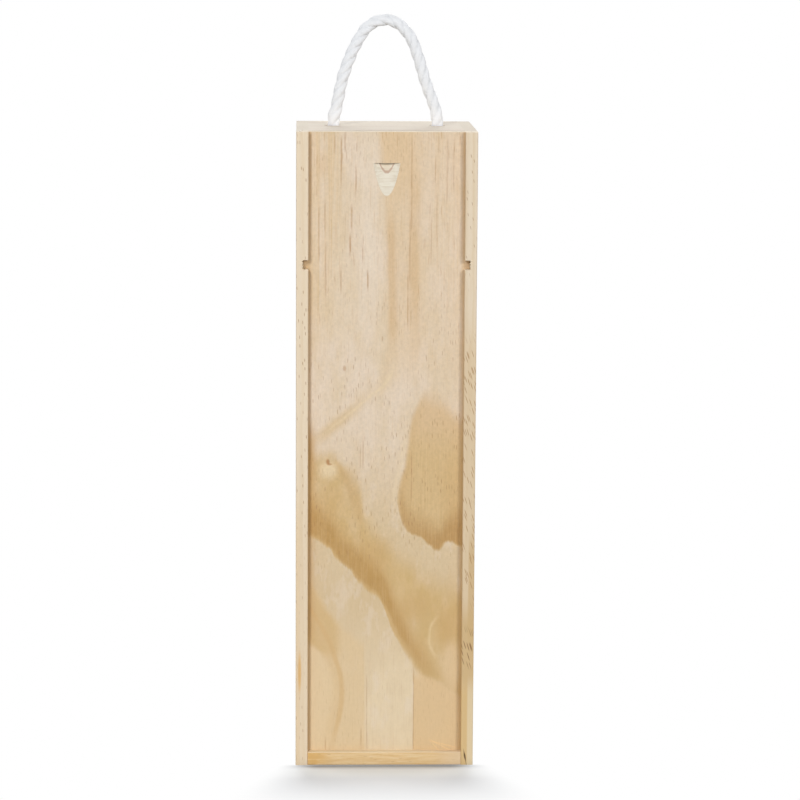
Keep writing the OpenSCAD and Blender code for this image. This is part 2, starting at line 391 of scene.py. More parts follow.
def right_marks(tree, x, y, z, colour):
    """The right wall: warmer wood low down, resin canals, a short split, a greyer outer corner, painted
    light in the dado, painted shade on the lip, and a painted sheen and highlight at the top.
    """
    colour = grey_rim(tree, x, colour)
    edge = fall(tree, y, WALL_FRONT + 0.2, WALL_FRONT + 4.5)
    aged = times(tree, rise(tree, z, 225.0, 262.0, 0.7, 0.0), edge)
    colour = mix(tree, aged, colour, tone(211, 188, 152))
    outer = rise(tree, x, 45.8, 46.8)
    middle = times(tree, between(tree, z, 70.0, 128.0, 12.0), outer, edge)
    colour = laid(tree, colour, middle, 0.85, 201, 173, 130)
    warm = times(tree, between(tree, z, 42.0, 88.0, 10.0), edge)
    colour = laid(tree, colour, warm, 0.8, 201, 171, 122)
    foot = times(tree, fall(tree, z, 38.0, 54.0), edge)
    foot_tone = mix(tree, outer, tone(211, 180, 127), tone(219, 199, 162))
    colour = mix(tree, times(tree, foot, 0.9), colour, foot_tone)
    front = fall(tree, y, WALL_FRONT + 1.5, WALL_FRONT + 2.5)
    canals = resin_dashes(tree, x, z, 5.0, 0.3, 0.8, 1.1, 12.0, 0.23)
    canals = times(tree, canals, between(tree, z, 92.0, 238.0, 10.0), front)
    colour = laid(tree, colour, canals, 0.75, 158, 116, 72)
    canals = resin_dashes(tree, x, z, 9.0, 0.3, 0.85, 1.1, 11.0, 0.28)
    canals = times(tree, canals, between(tree, z, 56.0, 76.0, 6.0), front)
    colour = laid(tree, colour, canals, 0.8, 120, 82, 46)

    # The split follows the leaning grain at the foot, and gapes a little in its middle
    split = calc(tree, "MULTIPLY_ADD", z, -0.185, 46.05)
    off = calc(tree, "ABSOLUTE", minus(tree, x, split))
    thickness = calc(tree, "MULTIPLY_ADD", between(tree, z, 3.2, 6.8, 1.5), 0.38, 0.12)
    line = fall(tree, calc(tree, "DIVIDE", off, thickness), 0.6, 1.3)
    low = times(tree, fall(tree, z, 7.5, 10.0), times(tree, front, 0.9))
    colour = mix(tree, times(tree, line, low), colour, tone(74, 46, 26))
    return top_corner_painted_highlight(tree, y, z, top_end_painted_sheen(tree, z, dado_painted_light(tree, x, y, z, colour)))


left_pine = sawn_pine(
    "pine_wall_left", 2, (-96.0, -62.0), 4.2, 0.006,
    ((228, 211, 186), (219, 198, 166), (223, 204, 174)), 3.0, 0.05, 0.25, left_marks
)
right_pine = sawn_pine(
    "pine_wall_right", 2, (88.0, -58.0), 3.8, -0.02,
    ((224, 208, 184), (212, 190, 156), (217, 198, 168)), 11.0, 0.2, 0.2, right_marks
)
dress("side_wall_left", left_pine)
dress("side_wall_right", right_pine)


# Bottom and top panels: planed pine cut to fit between the walls and nailed through them.
# The bottom one runs out to the front and stops the lid; the top one has the two rope holes.
def bottom_marks(tree, x, y, z, colour):
    """The bottom panel: waves of latewood, an orange left end, a pinker right one, and a painted
    highlight on the ledge in front of the lid.
    """
    left = oval(tree, x, z, (-42.0, 3.5), (9.0, 6.0), 0.7)
    colour = laid(tree, colour, left, 0.75, 212, 166, 92)
    place = add(tree, "CombineXYZ", x, y, z).outputs[0]
    waves = stretched_noise(tree, place, (0.09, 0.3, 0.8), 3.0)
    colour = mix(tree, rise(tree, waves, 0.5, 0.68, 0.0, 0.55), colour, tone(209, 171, 115))
    colour = mix(tree, rise(tree, waves, 0.48, 0.34, 0.0, 0.5), colour, tone(232, 208, 168))
    # Painted highlight on the strip of the panel's top in front of the lid
    ledge_painted_highlight = times(tree, rise(tree, z, 7.0, 7.3), fall(tree, y, -45.5, -44.5))
    colour = laid(tree, colour, ledge_painted_highlight, 0.7, 242, 226, 196)
    return mix(tree, rise(tree, x, 22.0, 44.0, 0.0, 0.7), colour, tone(220, 194, 160))


bottom_pine = sawn_pine(
    "pine_bottom", 0, (28.0, -16.0), 3.4, 0.05,
    ((225, 195, 148), (209, 171, 116), (220, 185, 129)), 23.0, 0.0, 0.2, bottom_marks
)


def lines_and_joint_shadow(tree, x, y, z, colour):
    """The top panel: fine darker lines, and a painted shadow in the joint behind the lid."""
    place = add(tree, "CombineXYZ", x, y, z).outputs[0]
    lines = stretched_noise(tree, place, (0.02, 0.5, 0.1), 3.0)
    colour = mix(tree, rise(tree, lines, 0.5, 0.68, 0.0, 0.6), colour, tone(199, 181, 163))
    # Painted shadow along the front edge, where the gap behind the lid would shade it
    joint_painted_shadow = rise(tree, y, -38.6, -36.5, 0.75, 0.0)
    joint_painted_shadow = times(tree, joint_painted_shadow, rise(tree, z, BOARD_TOP - 0.5, BOARD_TOP - 0.1))
    return mix(tree, joint_painted_shadow, colour, tone(150, 126, 96))


top_pine = sawn_pine(
    "pine_top", 0, (330.0, -40.0), 3.8, 0.02,
    ((216, 206, 192), (205, 193, 175), (207, 197, 181)), 31.0, 0.0, 0.08, lines_and_joint_shadow
)
dress("bottom_panel", bottom_pine)
dress("top_panel", top_pine)


# Back: a sheet of three-ply plywood, nailed into rabbets behind the walls.
# The grain of its core crosses that of its faces, which shows along its edges.
SHEET = 5.0
FACE_PLY = 1.8
BACK_START = 45.0


def plies(tree, depth, face, place):
    """Three plies through the sheet: aged faces, fresh wood just under them, core and glue."""
    from_middle = calc(tree, "ABSOLUTE", minus(tree, depth, SHEET / 2))
    inside = minus(tree, SHEET / 2, from_middle)
    chatter = stretched_noise(tree, place, (0.04, 1.0, 1.3), 3.0, (5.0, 0.0, 0.0))
    fresh = mix(tree, rise(tree, chatter, 0.35, 0.7), tone(228, 221, 205), tone(216, 205, 185))
    core = mix(tree, rise(tree, chatter, 0.35, 0.7), tone(224, 213, 194), tone(206, 190, 164))
    colour = mix(tree, rise(tree, inside, 0.06, 0.16), face, fresh)
    colour = mix(tree, rise(tree, inside, FACE_PLY - 0.02, FACE_PLY + 0.02), colour, core)
    glue = calc(tree, "ABSOLUTE", minus(tree, inside, FACE_PLY))
    return mix(tree, rise(tree, glue, 0.04, 0.17, 0.7, 0.0), colour, tone(178, 142, 120))


def flat_figure(tree, place, grain, seed, tones):
    """The broad rings of a peeled veneer: each one darkens slowly and ends sharply."""
    figure = stretched_noise(tree, place, with_grain(grain, 0.026, 0.0042), 1.5, (seed, seed, 0.0))
    bands = calc(tree, "FRACT", times(tree, figure, 9.0))
    veins = calc(tree, "MINIMUM", rise(tree, bands, 0.1, 0.82), fall(tree, bands, 0.86, 1.0))
    return mix(tree, times(tree, veins, 0.6), tone(*tones[0]), tone(*tones[1]))


def veneer_plywood(name, grain, depth_start, seed, tones):
    """Plywood with a plain pine face: broad soft figure, fine fibres and a few resin canals.

    grain is 0 or 2, the axis along its faces' fibres, and depth_start is where the sheet begins."""
    material, tree, shader = finish_material(name, 0.64, 0.25)
    place, x, y, z = object_millimetres(tree)
    along, across, depth = (z, x, y) if grain == 2 else (x, y, z)
    colour = flat_figure(tree, place, grain, seed, tones)
    fibres = stretched_noise(tree, place, with_grain(grain, 2.4, 0.04), 3.0, (0.0, 0.0, seed))
    colour = mix(tree, rise(tree, fibres, 0.5, 0.8, 0.0, 0.4), colour, tone(*tones[1]))
    dashes = resin_dashes(tree, across, along, seed, 0.0, 0.15, 2.4, 9.0, 0.17)
    colour = laid(tree, colour, dashes, 0.45, 158, 118, 80)
    colour = plies(tree, minus(tree, depth, depth_start), colour, place)
    feed(shader.inputs["Base Color"], colour)
    feed(shader.inputs["Roughness"], rise(tree, fibres, 0.2, 0.8, 0.54, 0.72))
    raise_surface(tree, shader, minus(tree, fibres, dashes), 0.3, 0.0001)
    return material


back_plywood = veneer_plywood(
    "plywood_back", 2, BACK_START, 41.0, ((226, 208, 178), (208, 178, 134))
)
dress("back_panel", back_plywood)


# Neck support: a plywood shelf held in the dados. Its slot opens to the front, so the bottle's
# neck is pushed in from there, and the cut shows its three plies.
SUPPORT_UNDERSIDE = 278.5

support_plywood = veneer_plywood(
    "plywood_support", 0, SUPPORT_UNDERSIDE, 53.0, ((228, 211, 183), (210, 182, 140))
)
dress("neck_support", support_plywood)


# Brads: thin bright steel nails. Those of the side walls hold the top and bottom panels, and those
# of the back go into the walls and the panels. Their heads lie flush with the wood.
brad_steel, tree, shader = finish_material("brad_steel", 0.38, 0.5)
shader.inputs["Metallic"].default_value = 1.0
place, x, y, z = object_millimetres(tree)
tarnish = add(tree, "TexNoise", place, 0.0, 1.4, 4.0, 0.6).outputs[0]
brad_colour = mix(tree, rise(tree, tarnish, 0.4, 0.7), tone(196, 196, 198), tone(158, 155, 150))
feed(shader.inputs["Base Color"], brad_colour)
feed(shader.inputs["Roughness"], rise(tree, tarnish, 0.3, 0.7, 0.3, 0.5))
raise_surface(tree, shader, tarnish, 0.2, 0.00005)
dress("side_brads", brad_steel)
dress("back_brads", brad_steel)


# Carry handle: one length of soft white rope, laid up right-handed from three strands. Each end
# goes down through a hole in the top panel and is stopped inside by a pulled-tight overhand knot
# with a short tail. Where it leaves the holes the rope bends.
MM = 0.001
ROPE_Y = 9.05
LEFT_X = -28.6
RIGHT_X = 29.5
FOLD_Z = 357.65
KNOT_Z = 336.5
KNOT_SCALE = 6.5 / 6.0
STRAND_RADIUS = 2.45
STRAND_OFFSET = 0.9
LAY = 22.0
YARNS = 36.0
YARN_TURN = 0.72
ROPE_STEP = 0.8
RING_POINTS = 36


def smooth_line(points, step):
    """A smooth line through the points, as evenly spaced samples."""
    points = np.array(points, float)
    before_first = 2 * points[0] - points[1]
    after_last = 2 * points[-1] - points[-2]
    padded = np.vstack([before_first, points, after_last])
    t = np.linspace(0, 1, 12, endpoint=False)[:, None]
    line = []
    for a, b, c, d in zip(padded, padded[1:], padded[2:], padded[3:]):
        cubic = 3 * b - 3 * c + d - a
        line.append(b + 0.5 * t * (c - a + t * (2 * a - 5 * b + 4 * c - d + t * cubic)))
    line = np.vstack(line + [points[-1:]])
    run = np.r_[0, np.cumsum(np.linalg.norm(np.diff(line, axis=0), axis=1))]
    even = np.linspace(0, run[-1], round(run[-1] / step) + 1)
    return np.column_stack([np.interp(even, run, line[:, k]) for k in range(3)])


# The route of an overhand knot in a rope of 6 mm, down from the panel to the tail, about the
# knot's centre. It is scaled to this rope. The legs and the crown are the loop above the panel.
knot_route = [
    (0, 1, 10), (0.5, 1, 5), (2.5, -1, 1.5), (2.5, -4, -1.5), (-0.5, -5.5, -5), (-4, -3.5, -6.5),
    (-6, 0.5, -6.5), (-5, 4.5, -4.5), (-2, 6, -1.5), (2, 6, 1.5), (5, 4.5, 4.5), (6, 0.5, 6.5),
    (4, -3.5, 6.5), (0.5, -5.5, 5), (-2.5, -4, 1.5), (-2.5, -1, -1.5), (-0.5, 1, -5), (0, 1, -10),
    (0, 0.5, -15), (0, 0.5, -20),
]
left_leg = [
    (0, 0), (1.2, 5), (2.4, 11), (3.8, 18), (5.6, 25), (8.0, 32), (10.7, 38.5), (13.8, 44.3)
]
crown = [(-11.4, 49.6), (-6.9, 53.5), (-0.5, 55.4), (5.4, 54.3), (10.6, 50.5)]
right_leg = [
    (14.4, 44.3), (12.1, 38.5), (9.9, 32), (7.9, 25), (5.6, 18), (2.9, 11), (0.9, 5), (0, 0)
]

knot_route = [(x * KNOT_SCALE, y * KNOT_SCALE, z * KNOT_SCALE) for x, y, z in knot_route]
left_end = [(LEFT_X + x, y, z + KNOT_Z) for x, y, z in reversed(knot_route)]
right_end = [(RIGHT_X - x, y, z + KNOT_Z) for x, y, z in knot_route]
loop = [(LEFT_X + x, 0, z + FOLD_Z) for x, z in left_leg]
loop += [(x, 0, z + FOLD_Z) for x, z in crown]
loop += [(RIGHT_X - x, 0, z + FOLD_Z) for x, z in right_leg]
rope_line = smooth_line(left_end + loop + right_end, ROPE_STEP) + (0, ROPE_Y, 0)
last_ring = len(rope_line) - 1
rope_length = ROPE_STEP * last_ring

# The rope is a grid bent round its line: one way runs along it, the other round three strands.
# A frame carried along without twisting keeps the lay even through the bends.
run_along = np.gradient(rope_line, axis=0)
run_along /= np.linalg.norm(run_along, axis=1)[:, None]
sideways = np.zeros_like(rope_line)
sideways[0] = (0, -1, 0)
for ring in range(1, len(rope_line)):
    carried = sideways[ring - 1]
    carried = carried - run_along[ring] * np.dot(carried, run_along[ring])
    sideways[ring] = carried / np.linalg.norm(carried)
upwards = np.cross(run_along, sideways)

rope_mesh = bmesh.new()
rope_uv = rope_mesh.loops.layers.uv.new("along_and_round")
bmesh.ops.create_grid(
    rope_mesh, x_segments=last_ring, y_segments=RING_POINTS, size=0.5, calc_uvs=True
)
for face in rope_mesh.faces:
    for corner in face.loops:
        corner[rope_uv].uv = (corner.vert.co.x + 0.5, corner.vert.co.y + 0.5)
for vertex in rope_mesh.verts:
    ring = round((vertex.co.x + 0.5) * last_ring)
    turn = (vertex.co.y + 0.5) * 2 * math.pi
    place = rope_line[ring]

    # The outside of the strand that faces this way, one of three laid side by side
    lobe = (turn + math.pi / 3) % (2 * math.pi / 3) - math.pi / 3
    reach = STRAND_OFFSET * math.cos(lobe)
    reach += math.sqrt(STRAND_RADIUS**2 - (STRAND_OFFSET * math.sin(lobe)) ** 2)

    # The cut ends draw in, and the free rope is a little uneven and fuller just above its holes
    from_end = min(ring, last_ring - ring) * ROPE_STEP
    reach *= min(1.0, 0.72 + 0.2 * from_end)
    above_panel = place[2] - BOARD_TOP
    uneven = 0.025 * math.sin(place[2] * 0.31 + place[0]) - 0.0008 * (place[0] + 4)
    uneven += 0.07 * math.exp(-((above_panel - 3) / 5) ** 2)
    reach *= 1.0 + uneven * min(1.0, max(0.0, above_panel / 6))
    twist = turn + 2 * math.pi * ring * ROPE_STEP / LAY
    out = math.cos(twist) * sideways[ring] + math.sin(twist) * upwards[ring]
    vertex.co = (place + reach * out) * MM
bmesh.ops.remove_doubles(rope_mesh, verts=rope_mesh.verts, dist=0.00001)
bmesh.ops.holes_fill(rope_mesh, edges=rope_mesh.edges)
bmesh.ops.recalc_face_normals(rope_mesh, faces=rope_mesh.faces)
for face in rope_mesh.faces:
    face.smooth = len(face.verts) == 4
rope_data = bpy.data.meshes.new("carry_rope")
rope_mesh.to_mesh(rope_data)
rope_mesh.free()
carry_rope = bpy.data.objects.new("carry_rope", rope_data)
scene.collection.objects.link(carry_rope)

# Soft cotton: the yarns run nearly straight along the rope, because each strand is twisted
# against the lay. The grooves between the strands get painted shade, and painted light makes the rope
# palest at its holes.
rope_finish, tree, shader = finish_material("white_rope", 0.78, 0.25)
shader.inputs["Sheen Weight"].default_value = 0.15
shader.inputs["Sheen Roughness"].default_value = 0.5
strand_map = add(tree, "UVMap", uv_map="along_and_round").outputs[0]
along, around, _ = add(tree, "SeparateXYZ", strand_map).outputs
lay_turns = times(tree, along, rope_length / LAY)
yarn_angle = calc(tree, "MULTIPLY_ADD", lay_turns, YARN_TURN, around)
yarn_cells = times(tree, yarn_angle, YARNS)
millimetres = times(tree, along, rope_length)
yarn_place = add(tree, "CombineXYZ", yarn_cells, times(tree, millimetres, 0.09), 0.0)
fuzz = add(tree, "TexNoise", yarn_place.outputs[0], 0.0, 1.3, 3.0, 0.6).outputs[0]
rope_place = add(tree, "TexCoord").outputs["Object"]
patches = add(tree, "TexNoise", rope_place, 0.0, 180.0, 2.0, 0.5).outputs[0]
wander = calc(tree, "MULTIPLY_ADD", fuzz, 0.6, yarn_cells)
yarn_wave = calc(tree, "SINE", times(tree, wander, 2 * math.pi))
yarn_height = calc(tree, "MULTIPLY_ADD", yarn_wave, 0.3, times(tree, fuzz, 0.7))
yarn_colour = mix(tree, rise(tree, yarn_height, -0.1, 0.65), tone(230, 232, 235), tone(237, 239, 242))
soft_colour = mix(tree, rise(tree, patches, 0.35, 0.7), yarn_colour, tone(235, 237, 240))
strand_share = calc(tree, "FRACT", times(tree, around, 3.0))
from_groove = calc(tree, "ABSOLUTE", minus(tree, strand_share, 0.5))
# Painted shade in the grooves between the strands
soft_colour = mix(tree, rise(tree, from_groove, 0.02, 0.2, 0.5, 0.0), soft_colour, tone(220, 223, 227))
rope_z = add(tree, "SeparateXYZ", rope_place).outputs[2]
# Painted light: the rope made paler just above the panel, where it would be in shade
soft_colour = mix(tree, rise(tree, rope_z, 0.356, 0.366, 0.8, 0.0), soft_colour, tone(247, 247, 249))
feed(shader.inputs["Base Color"], soft_colour)
raise_surface(tree, shader, yarn_height, 0.04, 0.0001)
rope_data.materials.append(rope_finish)
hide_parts("rope_handle", "rope_end_left", "rope_end_right")
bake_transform(carry_rope)


# Sliding lid: three-ply plywood with a rotary-cut pine face, slid down the grooves to rest on the
# bottom panel. A round cutter leaning into it makes the finger pull, which bares the core.
LID_FRONT = -45.2
LID_MIDDLE = LID_FRONT + SHEET / 2
ACROSS = (-50.0, 50.0)
LEFT_HALF = (-50.0, 0.0)
RIGHT_HALF = (0.0, 50.0)


def drawn_curve(tree, value, value_span, result_span, points):
    """A smooth curve through the points, read at value. The spans are the ranges of its two axes."""
    start, end = value_span
    low, high = result_span
    share = calc(tree, "DIVIDE", minus(tree, value, start), end - start)
    made = add(tree, "FloatCurve")
    feed(made.inputs["Value"], share)
    line = made.mapping.curves[0].points
    while len(line) < len(points):
        line.new(0.5, 0.5)
    for knot, (across, up) in zip(line, sorted(points)):
        knot.location = ((across - start) / (end - start), (up - low) / (high - low))
    made.mapping.update()
    return calc(tree, "MULTIPLY_ADD", made.outputs[0], high - low, low)


lid_finish, tree, shader = finish_material("plywood_lid", 0.62, 0.25)
place, x, y, z = object_millimetres(tree)

# px and pz are the places across and up, moved a little by noise, so that no border is a clean line
sway = minus(tree, stretched_noise(tree, place, (0.1, 0.1, 0.03), 3.0), 0.5)
swell = minus(tree, stretched_noise(tree, place, (0.16, 0.1, 0.14), 2.0, (9.0, 2.0, 4.0)), 0.5)
feather = minus(tree, stretched_noise(tree, place, (1.1, 0.5, 0.12), 2.0, (13.0, 0.0, 5.0)), 0.5)
px = calc(tree, "MULTIPLY_ADD", sway, 2.6, x)
pz = calc(tree, "MULTIPLY_ADD", swell, 4.0, z)
pz = calc(tree, "MULTIPLY_ADD", feather, 2.4, pz)

# What varies over the veneer: long streaks, fine fibres and threads, and broad soft clouds
streaks = stretched_noise(tree, place, (0.3, 0.2, 0.008), 3.0, (2.0, 0.0, 0.0))
fibres = stretched_noise(tree, place, (2.2, 1.0, 0.06), 3.0)
threads = stretched_noise(tree, place, (1.3, 0.2, 0.045), 3.0, (31.0, 0.0, 0.0))
clouds = stretched_noise(tree, place, (0.06, 0.05, 0.02), 3.0, (4.0, 0.0, 6.0))
mottle = stretched_noise(tree, place, (0.2, 0.1, 0.09), 4.0, (8.0, 0.0, 2.0))
weave = stretched_noise(tree, place, (0.75, 0.5, 0.6), 3.0, (0.0, 0.0, 29.0))

# Sapwood ground: pinkish above, more yellow below the middle, and pale again at the foot, partly as
# painted light for the light that falls off low down
face = mix(tree, rise(tree, z, 118.0, 205.0), tone(209, 186, 149), tone(222, 204, 182))
face = laid(tree, face, fall(tree, z, 40.0, 98.0), 0.95, 225, 206, 174)
face = laid(tree, face, rise(tree, clouds, 0.42, 0.62), 0.5, 214, 193, 160)
face = laid(tree, face, rise(tree, mottle, 0.5, 0.7), 0.35, 212, 190, 156)
face = laid(tree, face, rise(tree, mottle, 0.5, 0.32), 0.35, 226, 210, 192)
upper = rise(tree, z, 225.0, 275.0)
left_tan = times(tree, fall(tree, px, -34.0, -22.0), upper, rise(tree, streaks, 0.25, 0.6))
face = laid(tree, face, left_tan, 0.65, 217, 194, 160)
left_tan = oval(tree, px, pz, (-35.5, 336.0), (3.5, 6.0), 0.8)
face = laid(tree, face, left_tan, 0.5, 213, 184, 148)
middle_tan = between(tree, px, -29.0, -15.0, 4.0)
middle_tan = times(tree, middle_tan, between(tree, z, 238.0, 288.0, 12.0))
face = laid(tree, face, middle_tan, 0.4, 216, 196, 164)
pale = times(tree, between(tree, px, -15.0, -5.0, 3.0), upper, rise(tree, clouds, 0.3, 0.6, 1.0, 0.5))
face = laid(tree, face, pale, 0.7, 225, 210, 190)

# Heartwood side of the upper half: two darker stripes down it, streaky towards the right edge
edge_x = drawn_curve(tree, z, (180.0, 360.0), ACROSS, [
    (180, -46), (189, -37), (196, -29), (207, -16), (216, -6), (229, -0.5), (240, 0), (300, -1),
    (330, -3), (354, -5)
])
from_edge = minus(tree, px, edge_x)
heart = times(tree, rise(tree, from_edge, -2.0, 3.5), rise(tree, from_edge, 14.0, 26.0, 1.0, 0.42))
heart = times(tree, heart, rise(tree, z, 200.0, 240.0), rise(tree, z, 300.0, 345.0, 0.5, 1.0))
face = laid(tree, face, heart, 0.9, 216, 189, 152)
stripe = times(tree, between(tree, from_edge, 1.0, 5.4, 1.6), between(tree, z, 240.0, 308.0, 12.0))
stripe = times(tree, stripe, rise(tree, streaks, 0.3, 0.6, 0.6, 1.0))
face = laid(tree, face, stripe, 0.8, 207, 177, 138)
stripe = times(tree, between(tree, px, 12.5, 18.0, 2.0), between(tree, z, 232.0, 330.0, 20.0))
stripe = times(tree, stripe, rise(tree, clouds, 0.3, 0.6, 0.4, 1.0))
face = laid(tree, face, stripe, 0.75, 208, 178, 138)
ripples = stretched_noise(tree, place, (0.55, 0.2, 0.007), 2.0, (17.0, 0.0, 1.0))
at_sides = rise(tree, calc(tree, "ABSOLUTE", px), 22.0, 30.0)
ripples = times(tree, rise(tree, ripples, 0.48, 0.62), at_sides)
ripples = times(tree, ripples, upper, rise(tree, px, 0.0, 20.0, 1.0, 0.6))
face = laid(tree, face, ripples, 0.5, 211, 183, 142)
turned = times(tree, between(tree, from_edge, 1.5, 10.0, 3.5), between(tree, z, 182.0, 226.0, 9.0))
turned = times(tree, turned, rise(tree, px, -26.0, -8.0, 1.0, 0.25))
face = laid(tree, face, turned, 0.85, 211, 185, 146)
vein = times(tree, between(tree, from_edge, 5.0, 7.0, 1.2), between(tree, z, 190.0, 224.0, 8.0))
face = laid(tree, face, vein, 0.45, 228, 208, 172)

# The broad diagonal heartwood: glow_z is its soft upper border and band_z its crisper lower one,
# and the darkest wood lies between core_low and core_high
diagonal_heights = (20.0, 200.0)
glow_z = drawn_curve(tree, px, ACROSS, diagonal_heights, [
    (-50, 184), (-43, 181), (-38, 177), (-34, 177), (-28, 175), (-24, 170), (-20, 167), (-16, 163),
    (-14, 157), (-12, 147), (-9, 139), (-5, 133), (0, 128), (5, 122), (10, 118), (15, 115),
    (19, 111), (24, 107), (30, 104), (36, 102), (50, 100)
])
band_z = drawn_curve(tree, px, ACROSS, diagonal_heights, [
    (-50, 130), (-41, 129), (-37, 127), (-33, 124), (-30, 122), (-28, 118), (-25, 115),
    (-22, 112.5), (-18, 109), (-15, 105), (-12, 101.5), (-8, 98), (-4, 95), (-1, 91), (1, 85),
    (4, 77), (7, 71.5), (10, 66), (13, 61.5), (16, 58), (19, 52.5), (22, 49.5), (27, 47), (33, 43),
    (50, 33)
])
core_low = drawn_curve(tree, px, ACROSS, diagonal_heights, [
    (-50, 131), (-41, 130), (-36, 127.5), (-30, 122.5), (-24, 114.5), (-18, 109.5), (-12, 102.5),
    (-6, 98), (0, 90), (4, 81.5), (8, 73.5), (12, 66), (16, 59.5), (20, 54), (24, 50.5), (28, 48),
    (33, 44.5), (50, 35)
])
core_high = drawn_curve(tree, px, ACROSS, diagonal_heights, [
    (-50, 149), (-43, 148), (-36, 144), (-30, 139), (-24, 130), (-18, 124), (-12, 119), (-6, 114),
    (0, 105), (4, 95.5), (8, 86.5), (12, 78), (16, 70.5), (20, 64.5), (24, 60), (28, 56), (33, 50),
    (50, 38)
])

# Both borders grow softer to the right, where the cut runs more nearly along the rings
above_band = minus(tree, pz, band_z)
upper_soft = rise(tree, px, -26.0, -17.0, 1.0, 0.36)
upper_soft = calc(tree, "ADD", upper_soft, rise(tree, px, -10.0, 0.0, 0.0, 0.1))
under_glow = times(tree, minus(tree, glow_z, pz), upper_soft)
lower_soft = rise(tree, px, 0.0, 17.0, 1.0, 0.34)
above_border = times(tree, above_band, lower_soft)
heartwood = times(tree, rise(tree, above_border, -1.5, 1.5), rise(tree, under_glow, -4.0, 6.0))
patchy = rise(tree, clouds, 0.3, 0.62, 0.75, 1.0)
gold = mix(tree, rise(tree, mottle, 0.36, 0.6), tone(207, 177, 127), tone(201, 170, 116))
face = mix(tree, times(tree, heartwood, patchy, 0.93), face, gold)
gold_rim = times(tree, between(tree, under_glow, 2.0, 8.0, 3.0), rise(tree, px, -31.0, -27.0))
gold_rim = times(tree, gold_rim, fall(tree, px, -15.0, -11.0))
face = laid(tree, face, gold_rim, 0.7, 198, 166, 118)
for spot, size, share in (
    ((-5.0, 119.0), (8.0, 10.0), 0.7), ((15.0, 89.0), (10.0, 7.0), 0.6),
    ((34.5, 77.0), (6.0, 11.0), 0.7), ((-30.0, 150.0), (7.0, 6.0), 0.3),
):
    spot_shade = times(tree, oval(tree, px, pz, spot, size, 0.7), heartwood)
    face = laid(tree, face, spot_shade, share, 199, 165, 112)
above_core = minus(tree, pz, core_high)
brown = times(tree, heartwood, fall(tree, above_core, -2.0, 13.0))
brown = times(tree, brown, rise(tree, px, 18.0, 30.0, 1.0, 0.3))
face = laid(tree, face, brown, 0.7, 199, 164, 112)
above_low = times(tree, minus(tree, pz, core_low), lower_soft)
core = times(tree, rise(tree, above_low, -1.5, 2.5), fall(tree, above_core, -7.0, 5.0))
core = times(tree, core, rise(tree, px, -6.0, 33.0, 1.0, 0.4))
core = times(tree, core, rise(tree, mottle, 0.32, 0.62, 0.78, 1.0))
core = times(tree, core, rise(tree, streaks, 0.2, 0.7, 0.98, 0.8))
core_tone = mix(tree, rise(tree, fibres, 0.3, 0.7), tone(179, 140, 82), tone(185, 147, 89))
face = mix(tree, core, face, core_tone)

# The patch on the right: crisp round its left side and foot, dark along the foot, open above
patch_heights = (110.0, 220.0)
patch_x = drawn_curve(tree, z, patch_heights, RIGHT_HALF, [
    (110, 13), (128, 13), (134.5, 11), (138.5, 9), (143, 7.9), (150, 7.2), (160, 8.2), (170, 10.8),
    (180, 12), (190, 13.5), (198, 15.5), (205, 18), (215, 22)
])
patch_low = drawn_curve(tree, px, RIGHT_HALF, patch_heights, [
    (0, 160), (7, 147), (9, 138.5), (11, 134.5), (14, 131.5), (17, 130), (20, 128), (23, 125.5),
    (26, 122.8), (28.5, 121.5), (31, 122.5), (33, 125), (36, 126), (40, 124.5), (50, 122)
])
foot_high = drawn_curve(tree, px, RIGHT_HALF, patch_heights, [
    (0, 154), (7, 153), (10, 151), (13, 145), (18, 141), (22, 138), (27, 135), (31, 135), (33, 138),
    (36, 141.5), (43, 143), (50, 143)
])
patch_high = drawn_curve(tree, px, RIGHT_HALF, patch_heights, [
    (0, 180), (12, 193), (15, 203), (20, 208), (27, 208), (34, 204), (39, 199), (50, 194)
])
into_patch = minus(tree, px, patch_x)
patch = rise(tree, into_patch, -1.2, 2.2)
patch = times(tree, patch, rise(tree, minus(tree, pz, patch_low), -1.0, 1.6))
patch = times(tree, patch, rise(tree, minus(tree, patch_high, pz), -7.0, 9.0))
patch_tone = mix(tree, rise(tree, threads, 0.4, 0.65), tone(208, 179, 132), tone(203, 173, 124))
patch_tone = laid(tree, patch_tone, rise(tree, z, 172.0, 200.0), 0.7, 212, 183, 146)
face = mix(tree, times(tree, patch, 0.95), face, patch_tone)
patch_shade = times(tree, patch, oval(tree, px, pz, (37.0, 155.0), (6.0, 17.0), 0.6))
face = laid(tree, face, patch_shade, 0.5, 201, 169, 119)
side_rim = times(tree, patch, fall(tree, into_patch, 0.0, 8.0), rise(tree, pz, 160.0, 182.0, 1.0, 0.3))
face = laid(tree, face, side_rim, 0.75, 201, 168, 121)
foot = times(tree, patch, rise(tree, minus(tree, foot_high, pz), -8.0, 9.0))
foot = times(tree, foot, rise(tree, px, 12.0, 24.0, 0.65, 0.95))
foot_tone = mix(tree, rise(tree, fibres, 0.3, 0.7), tone(178, 140, 88), tone(189, 153, 101))
face = mix(tree, foot, face, foot_tone)
fringe = times(tree, between(tree, into_patch, -3.5, -0.8, 1.0), between(tree, z, 148.0, 188.0, 8.0))
face = laid(tree, face, fringe, 0.4, 226, 206, 174)

